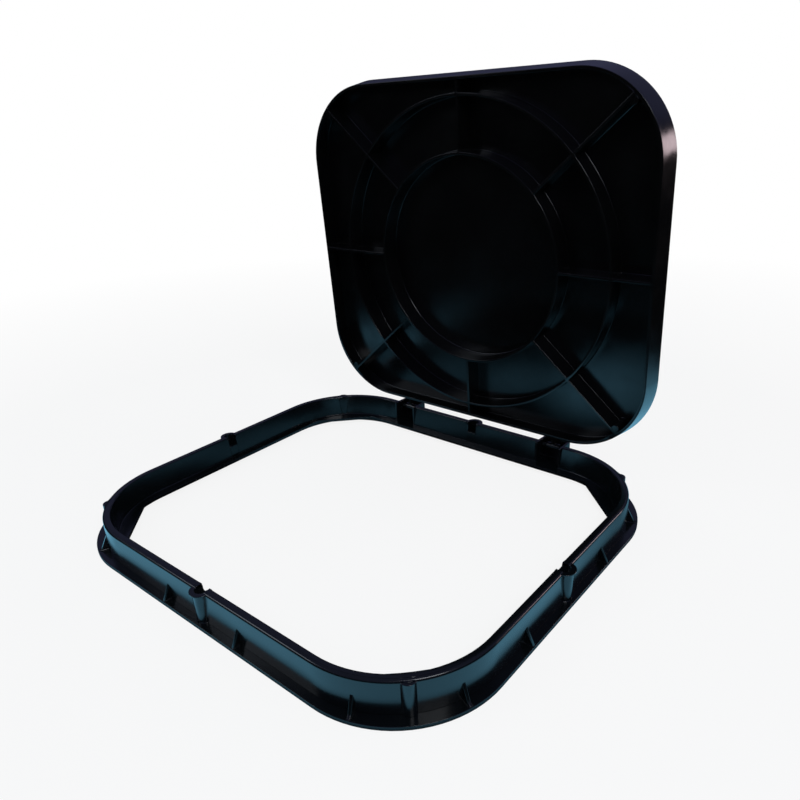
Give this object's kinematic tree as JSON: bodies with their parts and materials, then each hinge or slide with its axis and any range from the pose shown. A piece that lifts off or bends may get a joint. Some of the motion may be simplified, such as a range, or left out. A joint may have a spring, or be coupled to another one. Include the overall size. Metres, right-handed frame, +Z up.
{
  "type": "hinged manhole cover",
  "caption": "Moulded plastic access cover: a rounded rectangular frame with a bedding flange and seat ledge, and a ribbed cover that swings up on two rear hinge pins.",
  "frame": {"origin": "centre of the clear opening, in the plane of the flange's underside", "axes": "+X along the hinge, +Y from the front side to the hinge side, +Z up"},
  "size_m": [0.471, 0.4255, 0.4227],
  "materials": {
    "frame_plastic": "moulded black polypropylene with a satin gloss",
    "cover_plastic": "moulded black polypropylene with a satin gloss",
    "pin_plastic": "smooth black nylon rod"
  },
  "bodies": {
    "frame": {"frame": "frame_plastic", "hinge_pin_left": "pin_plastic", "hinge_pin_right": "pin_plastic"},
    "cover": {"cover": "cover_plastic"}
  },
  "joints": [
    {"name": "cover_hinge", "type": "hinge", "parent": "frame", "child": "cover", "pos_m": [0, 0.207, 0.026], "axis": [1, 0, 0], "range_deg": [-3, 87]}
  ]
}
